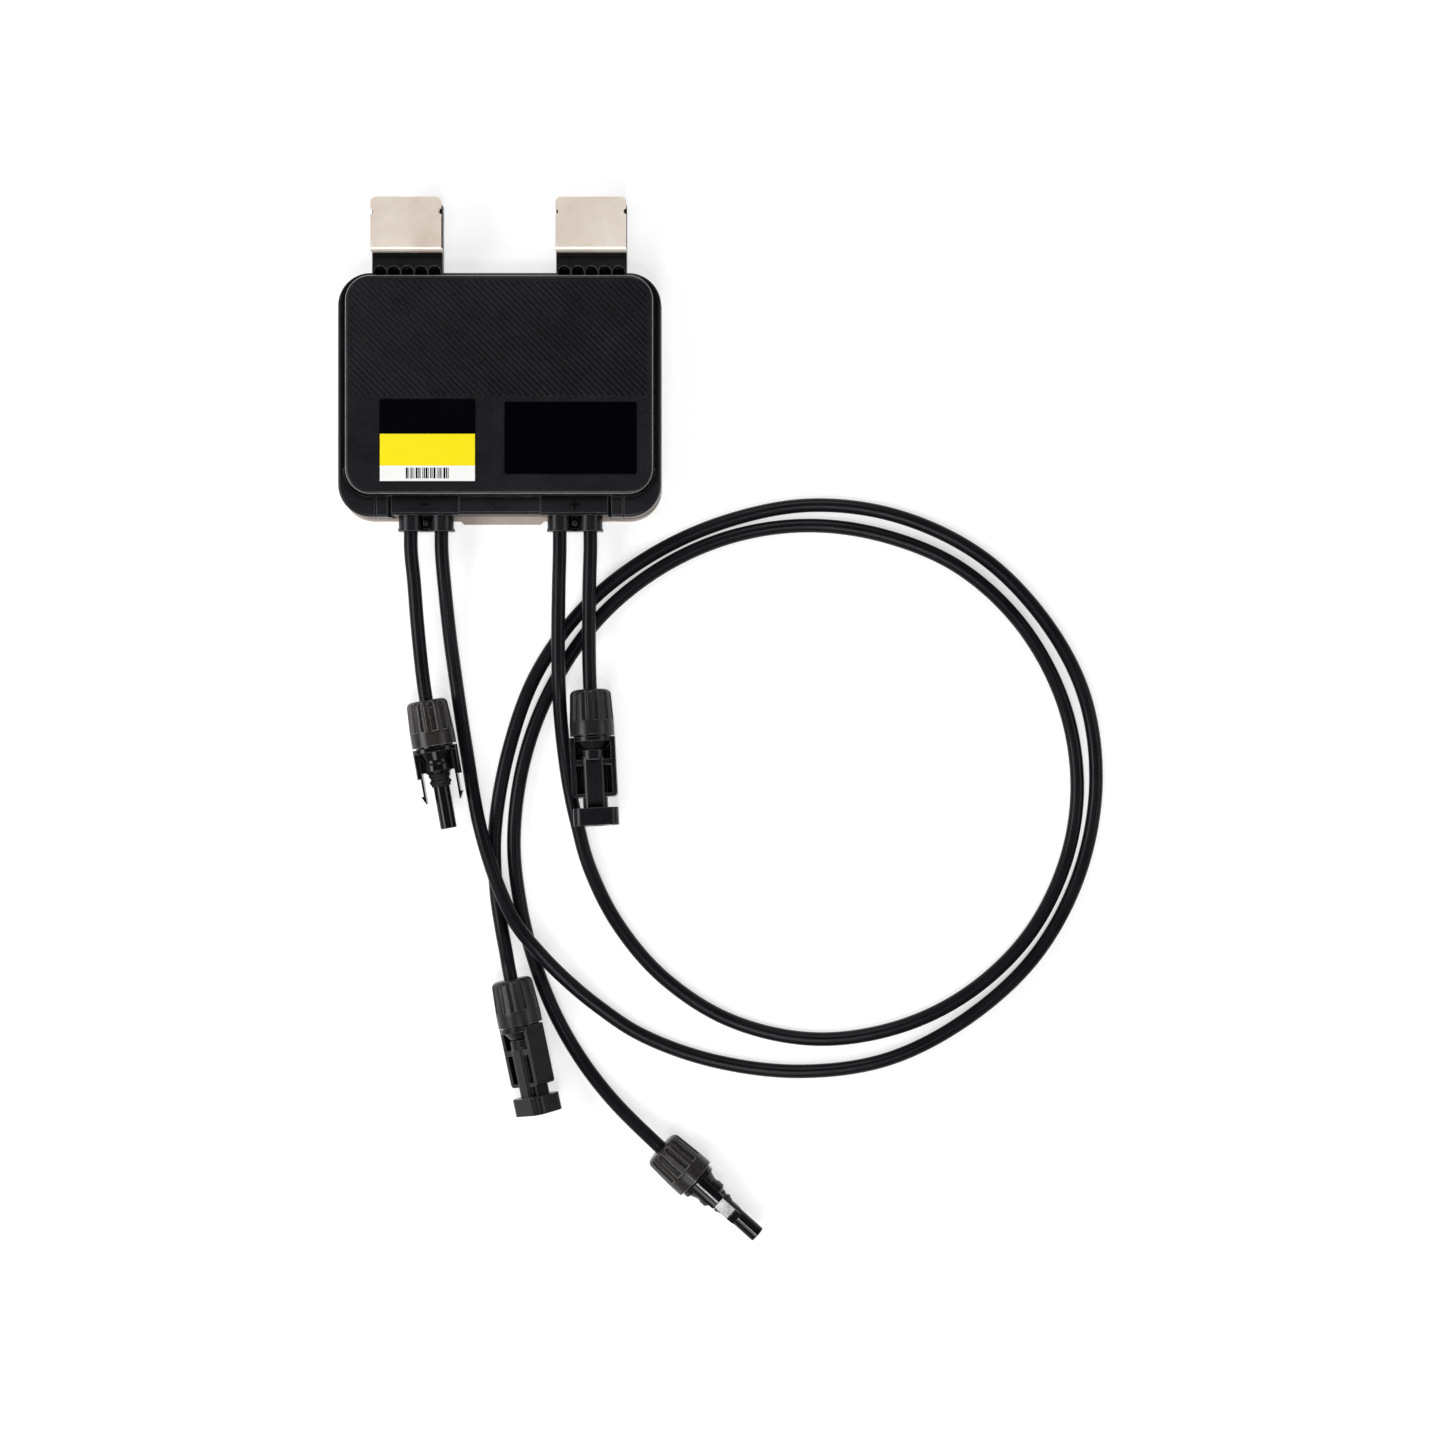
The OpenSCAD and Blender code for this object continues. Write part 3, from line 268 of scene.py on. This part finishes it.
def span(nodes, links, value, low, high, start=NOISE_LOW, stop=NOISE_HIGH):
    """Maps a value between start and stop to a range, by default over the usual span of a noise."""
    node = nodes.new("ShaderNodeMapRange")
    node.inputs["From Min"].default_value = start
    node.inputs["From Max"].default_value = stop
    node.inputs["To Min"].default_value = low
    node.inputs["To Max"].default_value = high
    links.new(value, node.inputs["Value"])
    return node.outputs["Result"]


def blend_colour(nodes, links, value, dark, light):
    """Colour between two tones by a value."""
    ramp = nodes.new("ShaderNodeValToRGB")
    ramp.color_ramp.elements[0].position = NOISE_LOW
    ramp.color_ramp.elements[1].position = NOISE_HIGH
    ramp.color_ramp.elements[0].color = (*dark, 1)
    ramp.color_ramp.elements[1].color = (*light, 1)
    links.new(value, ramp.inputs["Fac"])
    return ramp.outputs["Color"]


def rounded_normal(nodes, radius):
    """Normal as if sharp edges were rounded by a radius."""
    node = nodes.new("ShaderNodeBevel")
    node.samples = EDGE_SAMPLES
    node.inputs["Radius"].default_value = radius
    return node.outputs["Normal"]


def bump(nodes, links, shader, value, depth, edge=0.0):
    """Bump of a given depth; edge rounds the sharp edges it meets by that radius."""
    node = nodes.new("ShaderNodeBump")
    node.inputs["Strength"].default_value = 1.0
    node.inputs["Distance"].default_value = depth
    links.new(value, node.inputs["Height"])
    if edge:
        links.new(rounded_normal(nodes, edge), node.inputs["Normal"])
    links.new(node.outputs["Normal"], shader.inputs["Normal"])


def calc(nodes, links, operation, *terms):
    """One step of arithmetic; a term is a number or the output of another node."""
    node = nodes.new("ShaderNodeMath")
    node.operation = operation
    for socket, term in zip(node.inputs, terms):
        if isinstance(term, (int, float)):
            socket.default_value = term
        else:
            links.new(term, socket)
    return node.outputs[0]


def mean(nodes, links, one, other):
    """Half of the sum of two values."""
    return calc(nodes, links, "MULTIPLY", calc(nodes, links, "ADD", one, other), 0.5)


def mix_colour(nodes, links, share, colour, other):
    """Colour that turns to another tone by a share."""
    mix = nodes.new("ShaderNodeMix")
    mix.data_type = "RGBA"
    links.new(share, mix.inputs["Factor"])
    links.new(colour, mix.inputs["A"])
    mix.inputs["B"].default_value = (*other, 1)
    return mix.outputs["Result"]


def near_edge(nodes, links, reach):
    """One at an edge and nothing away from it, by the cosine between the plain normal and the normal that
    is rounded over a reach."""
    plain = nodes.new("ShaderNodeNewGeometry")
    agree = nodes.new("ShaderNodeVectorMath")
    agree.operation = "DOT_PRODUCT"
    links.new(rounded_normal(nodes, reach), agree.inputs[0])
    links.new(plain.outputs["Normal"], agree.inputs[1])
    return span(nodes, links, agree.outputs["Value"], 0, 1, start=0.985, stop=0.9)


def rubbed_and_highlight_share(nodes, links, place, marks, highlight_rim):
    """Where a moulding turns pale: in patches along its edges, partly as rubbed wear and partly as painted
    highlight, and, where it has a rim, on the whole band of heights of the rim as a painted highlight, with
    less below that band and nothing above it."""
    patches = span(nodes, links, marks, 0.4, 1.0)
    share = calc(nodes, links, "MULTIPLY", near_edge(nodes, links, PALE_EDGE_REACH), patches)
    if highlight_rim is None:
        return share
    # Painted highlight: the whole band of heights of the rim turns pale.
    low, high = highlight_rim
    split = nodes.new("ShaderNodeSeparateXYZ")
    links.new(place, split.inputs["Vector"])
    below = calc(nodes, links, "LESS_THAN", split.outputs["Z"], high)
    above = calc(nodes, links, "GREATER_THAN", split.outputs["Z"], low)
    highlight_band = calc(nodes, links, "MULTIPLY", below, above)
    less = calc(nodes, links, "MULTIPLY", below, BELOW_RIM)
    kept = calc(nodes, links, "MULTIPLY", share, less)
    return calc(nodes, links, "MAXIMUM", kept, highlight_band)


def groove_shade_share(nodes, links):
    """Painted shade: one down in a groove and nothing on open faces, by the share of the sky seen within a
    short reach.
    """
    sky = nodes.new("ShaderNodeAmbientOcclusion")
    sky.samples = SKY_SAMPLES
    sky.inputs["Distance"].default_value = GROOVE_SHADE_REACH
    return span(nodes, links, sky.outputs["AO"], 1, 0, start=0.8, stop=0.99)


def moulded(name, dark, light, rough, grain=2600, depth=0.00002, edge=0.0003, specular=0.35,
            rubbed_and_highlight=None, highlight_rim=None, groove_shade=None):
    """Moulded plastic: two close tones in soft clouds and pores, handling marks in the gloss, fine eroded
    grain, edges that turn paler, partly as rubbed wear and partly as painted highlight, and painted shade in
    the grooves."""
    material, nodes, links, shader = new_material(name)
    place = object_place(nodes, links)
    clouds = noise(nodes, links, place, scale=45)
    pores = noise(nodes, links, place, scale=1100, detail=2)
    marks = noise(nodes, links, place, scale=140, rough=0.6)
    colour = blend_colour(nodes, links, mean(nodes, links, clouds, pores), dark, light)
    # Painted shade: grooves and gaps turn to a near-black tone where little sky is seen.
    if groove_shade:
        colour = mix_colour(nodes, links, groove_shade_share(nodes, links), colour, groove_shade)
    # Paler edges, partly rubbed wear and partly painted highlight, and a painted highlight on the rim.
    if rubbed_and_highlight:
        colour = mix_colour(nodes, links, rubbed_and_highlight_share(nodes, links, place, marks, highlight_rim), colour, rubbed_and_highlight)
    links.new(colour, shader.inputs["Base Color"])
    links.new(span(nodes, links, marks, rough - 0.03, rough + 0.05), shader.inputs["Roughness"])
    shader.inputs["Specular IOR Level"].default_value = specular
    bump(nodes, links, shader, noise(nodes, links, place, scale=grain, detail=2), depth, edge)
    return material


def metal(name, dark, light, rough, stretch, depth=0.00001, metallic=1.0, edge=0.0003):
    """Rolled or turned metal: fine streaks along one direction in tone, gloss and relief."""
    material, nodes, links, shader = new_material(name)
    streak = noise(nodes, links, object_place(nodes, links, stretch), scale=900, detail=4, rough=0.65)
    cloud = noise(nodes, links, object_place(nodes, links), scale=70, detail=4)
    tone = mean(nodes, links, streak, cloud)
    links.new(blend_colour(nodes, links, tone, dark, light), shader.inputs["Base Color"])
    links.new(span(nodes, links, cloud, rough - 0.04, rough + 0.08), shader.inputs["Roughness"])
    shader.inputs["Metallic"].default_value = metallic
    bump(nodes, links, shader, streak, depth, edge)
    return material


def own_attribute(nodes, key):
    """Value of one of the piece's own attributes."""
    node = nodes.new("ShaderNodeAttribute")
    node.attribute_name = key
    return node.outputs["Fac"]


def jacket(name, dark, light, specular=0.12, depth=0.00001):
    """Lead jacket: long faint draw lines that follow the lead by its own attributes, and dull patches."""
    material, nodes, links, shader = new_material(name)
    both = nodes.new("ShaderNodeCombineXYZ")
    links.new(own_attribute(nodes, "along"), both.inputs["X"])
    links.new(own_attribute(nodes, "turn"), both.inputs["Y"])
    lines = noise(nodes, links, both.outputs["Vector"], scale=9, detail=4, rough=0.6)
    place = object_place(nodes, links)
    dull = noise(nodes, links, place, scale=60, detail=4)
    links.new(blend_colour(nodes, links, dull, dark, light), shader.inputs["Base Color"])
    links.new(span(nodes, links, lines, 0.26, 0.36), shader.inputs["Roughness"])
    shader.inputs["Specular IOR Level"].default_value = specular
    bump(nodes, links, shader, noise(nodes, links, place, scale=3000, detail=2), depth)
    return material


def film(name, colour, rough, worn=0.9, specular=0.35, depth=0.000004):
    """Printed film: one ink with a faint print grain, slightly uneven gloss."""
    material, nodes, links, shader = new_material(name)
    place = object_place(nodes, links)
    grain = noise(nodes, links, place, scale=1800, detail=2)
    dark = tuple(c * worn for c in colour)
    links.new(blend_colour(nodes, links, grain, dark, colour), shader.inputs["Base Color"])
    gloss = noise(nodes, links, place, scale=90, detail=4)
    links.new(span(nodes, links, gloss, rough - 0.04, rough + 0.06), shader.inputs["Roughness"])
    shader.inputs["Specular IOR Level"].default_value = specular
    bump(nodes, links, shader, grain, depth)
    return material


# The rim is the rounded edge of the raised panel, a band of heights just below its ridges; this band is
# painted pale as a highlight
RIM_HIGHLIGHT_LOW = 0.00062
RIM_HIGHLIGHT_HIGH = 0.00042
panel_top = float(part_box("housing")[1][2])

# In these mouldings the pale edge tone is partly rubbed wear and partly painted highlight, the housing's rim
# tone is a painted highlight, and the near-black groove tone is painted shade.
housing_plastic = moulded(
    "housing_plastic", (0.0055, 0.0054, 0.0068), (0.0178, 0.0176, 0.0208), 0.3, depth=FINE_GRAIN,
    specular=0.22, rubbed_and_highlight=(0.42, 0.41, 0.415), highlight_rim=(panel_top - RIM_HIGHLIGHT_LOW, panel_top - RIM_HIGHLIGHT_HIGH),
    groove_shade=PAINTED_GROOVE_SHADE)
block_plastic = moulded(
    "block_plastic", (0.005, 0.0049, 0.0062), (0.0163, 0.0161, 0.019), 0.3, depth=FINE_GRAIN, specular=0.22,
    rubbed_and_highlight=(0.16, 0.158, 0.162), groove_shade=PAINTED_GROOVE_SHADE)
plug_nut_plastic = moulded(
    "plug_nut_plastic", (0.011, 0.01, 0.0097), (0.03, 0.0273, 0.0264), 0.28, grain=3200, depth=FINE_GRAIN,
    edge=0.0004, specular=0.24, rubbed_and_highlight=(0.52, 0.48, 0.465), groove_shade=(0.001, 0.0009, 0.0009))
socket_nut_plastic = moulded(
    "socket_nut_plastic", (0.009, 0.0087, 0.0088), (0.022, 0.021, 0.0212), 0.3, grain=3200, depth=FINE_GRAIN,
    edge=0.0004, specular=0.22, rubbed_and_highlight=(0.16, 0.155, 0.155), groove_shade=(0.001, 0.001, 0.001))
plug_plastic = moulded(
    "plug_plastic", (0.0025, 0.0025, 0.0029), (0.0065, 0.0065, 0.0072), 0.13, depth=0.000003,
    edge=0.0004, specular=0.19, rubbed_and_highlight=(0.08, 0.08, 0.082))
socket_plastic = moulded(
    "socket_plastic", (0.0042, 0.0042, 0.0048), (0.014, 0.014, 0.0157), 0.22, depth=FINE_GRAIN,
    edge=0.0004, specular=0.18, rubbed_and_highlight=(0.11, 0.11, 0.114), groove_shade=(0.001, 0.001, 0.0012))
seal_rubber = moulded("seal_rubber", (0.004, 0.004, 0.004), (0.008, 0.008, 0.008), 0.5, specular=0.25)
clip_steel = metal("clip_steel", (0.84, 0.68, 0.58), (1.0, 0.93, 0.83), 0.32, (1, 6, 1), depth=0.000003,
                   metallic=0.3)
plate_steel = metal("plate_steel", (0.5, 0.42, 0.37), (0.68, 0.59, 0.53), 0.45, (12, 1, 1), metallic=0.4)
screw_steel = metal("screw_steel", (0.45, 0.45, 0.44), (0.62, 0.61, 0.6), 0.35, (1, 1, 6))
contact_metal = metal("contact_metal", (0.6, 0.57, 0.5), (0.75, 0.72, 0.66), 0.3, (1, 1, 6))
terminal_brass = metal("terminal_brass", (0.55, 0.4, 0.17), (0.7, 0.53, 0.25), 0.35, (1, 8, 1))
coil_wire = metal("coil_wire", (0.42, 0.18, 0.07), (0.6, 0.28, 0.12), 0.3, (1, 1, 14))
shield_steel = metal("shield_steel", (0.5, 0.5, 0.5), (0.62, 0.62, 0.62), 0.35, (8, 1, 1))
board_laminate = moulded("board_laminate", (0.01, 0.07, 0.035), (0.015, 0.1, 0.05), 0.35)
ferrite = moulded("ferrite", (0.03, 0.03, 0.032), (0.055, 0.055, 0.058), 0.6)
chip_plastic = moulded("chip_plastic", (0.01, 0.01, 0.01), (0.018, 0.018, 0.018), 0.5)
capacitor_plastic = moulded("capacitor_plastic", (0.3, 0.07, 0.02), (0.38, 0.1, 0.03), 0.3)
pad_rubber = moulded("pad_rubber", (0.2, 0.24, 0.3), (0.26, 0.3, 0.36), 0.7)
lead_jacket = jacket("lead_jacket", (0.0034, 0.003, 0.0042), (0.0072, 0.0066, 0.0086))
label_black = film("label_black", (0.0012, 0.0012, 0.0026), 0.2, specular=0.1)
sign_black = film("sign_black", (0.001, 0.001, 0.0012), 0.4, specular=0.05)
label_gloss = film("label_gloss", (0.0006, 0.0006, 0.002), 0.16, specular=0.1)
label_yellow = film("label_yellow", (0.93, 0.78, 0.004), 0.4, worn=0.97)
label_white = film("label_white", (0.91, 0.91, 0.895), 0.4, worn=0.97)

FINISH = {
    "housing": housing_plastic, "rear_plate": plate_steel, "plate_gasket": seal_rubber,
    "plate_screws": screw_steel,
    "left_frame_clip": clip_steel, "right_frame_clip": clip_steel, "clip_rivets": screw_steel,
    "rating_label": label_black, "dark_label": label_gloss,
    "negative_lead_block": block_plastic, "positive_lead_block": block_plastic,
    "circuit_board": board_laminate, "board_screws": screw_steel, "inductor_core": ferrite,
    "inductor_coil": coil_wire, "power_transistors": chip_plastic, "thermal_pad": pad_rubber,
    "film_capacitors": capacitor_plastic, "control_chip": chip_plastic, "radio_module": shield_steel,
    "bypass_diode": chip_plastic, "lead_terminals": terminal_brass,
}
for lead, end in ENDS.items():
    FINISH[f"{lead}_nut"] = plug_nut_plastic if end == "plug" else socket_nut_plastic
    FINISH[f"{lead}_{end}"] = plug_plastic if end == "plug" else socket_plastic
    FINISH[f"{lead}_gland"] = seal_rubber
    FINISH[f"{lead}_contact"] = contact_metal
    if end == "plug":
        FINISH[f"{lead}_seal"] = seal_rubber
for node, material in FINISH.items():
    dress(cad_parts[node], material)
for piece in jackets:
    dress(piece, lead_jacket)


# Print on the rating label, in millimetres: two plain fields and a row of bars

FIELD_TOP = -29.8
FIELD_SPLIT = -43.4
FIELD_PROUD = 0.03
FIELD_DEPTH = 0.05
BARS_LEFT = -39.7
BARS_LENGTH = 18.3
BARS_LOW = -48.85
BARS_HIGH = -44.2
BARS_PROUD = 0.02
BARS_DEPTH = 0.04
BAR_WIDTHS = np.array([3, 1, 2, 1, 1, 3, 2, 1, 1, 2, 3, 1, 2, 1, 3, 1, 1, 2, 1, 3, 2, 1])
BAR_GAPS = np.array([1, 2, 1, 1, 2, 1, 1, 2, 1, 1, 1, 2, 1, 1, 2, 1, 1, 1, 2, 1, 1, 1])


def flat_fields(name, boxes, top, thickness):
    """Thin closed plates: each box (x0, x1, y0, y1) is a slab under the top height."""
    x0, x1, y0, y1 = np.array(boxes, float).T
    low, high = np.full(len(x0), top - thickness), np.full(len(x0), top)
    corners = np.stack([np.stack([x, y, z], axis=-1) for z in (low, high)
                        for x, y in ((x0, y0), (x1, y0), (x1, y1), (x0, y1))], axis=1)
    sides = np.array([(3, 2, 1, 0), (4, 5, 6, 7), (0, 1, 5, 4), (1, 2, 6, 5), (2, 3, 7, 6), (3, 0, 4, 7)])
    faces = (np.arange(len(x0))[:, None, None] * corners.shape[1] + sides).reshape(-1, 4)
    mesh = bpy.data.meshes.new(name)
    mesh.from_pydata(corners.reshape(-1, 3) * MM, [], faces.tolist())
    mesh.update()
    piece = bpy.data.objects.new(name, mesh)
    bpy.context.scene.collection.objects.link(piece)
    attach(piece, "root")
    return piece


def label_print():
    """Yellow and white field across the label and, on the white one, bars of uneven widths and gaps: each
    bar starts after the sum of the widths and gaps before it."""
    low, high = box_mm("rating_label")
    top = high[2] + FIELD_PROUD
    yellow = flat_fields("label_yellow_field", [(low[0], high[0], FIELD_SPLIT, FIELD_TOP)], top, FIELD_DEPTH)
    white = flat_fields("label_white_field", [(low[0], high[0], low[1], FIELD_SPLIT)], top, FIELD_DEPTH)
    start = np.concatenate([[0], np.cumsum(BAR_WIDTHS + BAR_GAPS)[:-1]])
    unit = BARS_LENGTH / (start[-1] + BAR_WIDTHS[-1])
    boxes = np.stack([BARS_LEFT + start * unit, BARS_LEFT + (start + BAR_WIDTHS) * unit,
                      np.full(len(start), BARS_LOW), np.full(len(start), BARS_HIGH)], axis=1)
    bars = flat_fields("label_bars", boxes, top + BARS_PROUD, BARS_DEPTH)
    for piece, material in ((yellow, label_yellow), (white, label_white), (bars, label_black)):
        dress(piece, material)


label_print()


# Signs on the lead blocks, in millimetres

SIGN_LENGTH = 3.9
SIGN_WIDTH = 0.6
SIGN_Y = -59.6
SIGN_PROUD = 0.08
SIGN_DEPTH = 0.1


def block_sign(side):
    """One bar across the block's middle, which two short bars make a cross on the positive block."""
    low, high = box_mm(side + "_lead_block")
    x = (low[0] + high[0]) / 2
    near, far = SIGN_WIDTH / 2, SIGN_LENGTH / 2
    arms = [(x - far, x + far, SIGN_Y - near, SIGN_Y + near)]
    if side == "positive":
        arms += [(x - near, x + near, SIGN_Y + near, SIGN_Y + far),
                 (x - near, x + near, SIGN_Y - far, SIGN_Y - near)]
    sign = flat_fields(side + "_sign", arms, high[2] + SIGN_PROUD, SIGN_DEPTH)
    dress(sign, sign_black)


block_sign("negative")
block_sign("positive")


# Table and light, in metres and watts

TABLE_HALF = 40
TABLE_DROP = 0.0003
TABLE_GREY = (0.55, 0.55, 0.55, 1)
TABLE_GLOW = 0.6
HORIZON_WHITE = (1, 1, 1, 1)
HORIZON_UP_TO = 0.45
OVERHEAD_GREY = (0.1, 0.1, 0.1, 1)
OVERHEAD_FROM = 0.8
ROOM_STRENGTH = 0.3


def table():
    """Wide pale plane just under the object. It glows a little towards the camera and mirrors, so that it
    is white there, and still takes the object's shadow."""
    ends = np.array([-TABLE_HALF, TABLE_HALF])
    u, v = np.meshgrid(ends, ends, indexing="ij")
    piece = grid_mesh("table", np.stack([u, v, np.full(u.shape, -TABLE_DROP)], axis=-1))
    material, nodes, links, shader = new_material("table_white")
    shader.inputs["Base Color"].default_value = TABLE_GREY
    shader.inputs["Roughness"].default_value = 0.9
    shader.inputs["Specular IOR Level"].default_value = 0.1
    path = nodes.new("ShaderNodeLightPath").outputs
    seen = calc(nodes, links, "MAXIMUM", path["Is Camera Ray"], path["Is Glossy Ray"])
    seen = calc(nodes, links, "MAXIMUM", seen, path["Is Transmission Ray"])
    glow = nodes.new("ShaderNodeEmission")
    links.new(calc(nodes, links, "MULTIPLY", seen, TABLE_GLOW), glow.inputs["Strength"])
    add = nodes.new("ShaderNodeAddShader")
    links.new(shader.outputs["BSDF"], add.inputs[0])
    links.new(glow.outputs["Emission"], add.inputs[1])
    links.new(add.outputs["Shader"], nodes["Material Output"].inputs["Surface"])
    dress(piece, material)


def room():
    """Studio room: bright towards the horizon, dim overhead, where the camera hangs."""
    world = bpy.data.worlds.new("studio_room")
    world.use_nodes = True
    nodes, links = world.node_tree.nodes, world.node_tree.links
    place = nodes.new("ShaderNodeTexCoord")
    split = nodes.new("ShaderNodeSeparateXYZ")
    links.new(place.outputs["Generated"], split.inputs["Vector"])
    ramp = nodes.new("ShaderNodeValToRGB")
    ramp.color_ramp.elements[0].position = HORIZON_UP_TO
    ramp.color_ramp.elements[0].color = HORIZON_WHITE
    ramp.color_ramp.elements[1].position = OVERHEAD_FROM
    ramp.color_ramp.elements[1].color = OVERHEAD_GREY
    links.new(split.outputs["Z"], ramp.inputs["Fac"])
    links.new(ramp.outputs["Color"], nodes["Background"].inputs["Color"])
    nodes["Background"].inputs["Strength"].default_value = ROOM_STRENGTH
    bpy.context.scene.world = world


def softbox(name, place, aim, size, watts):
    """Square area lamp at a place, turned to an aim point."""
    data = bpy.data.lights.new(name, "AREA")
    data.size = size
    data.energy = watts
    lamp = bpy.data.objects.new(name, data)
    lamp.location = place
    lamp.rotation_euler = (Vector(aim) - Vector(place)).to_track_quat("-Z", "Y").to_euler()
    bpy.context.scene.collection.objects.link(lamp)


table()
room()
softbox("softbox_left", (-1.05, -0.2, 0.9), aim=(0.0, -0.15, 0), size=0.6, watts=10.2)
softbox("softbox_right", (1.25, -0.1, 0.8), aim=(0.1, -0.12, 0), size=0.6, watts=3.4)
softbox("softbox_front", (-0.02, -1.0, 1.05), aim=(0.08, -0.25, 0), size=0.5, watts=6)
softbox("softbox_low", (0.1, -0.573, 1.22), aim=(0.08, -0.35, 0), size=0.12, watts=2.8)
softbox("softbox_back", (0.1, 0.95, 0.8), aim=(0.0, -0.1, 0), size=0.5, watts=4.6)
bpy.context.scene.view_settings.view_transform = "Standard"
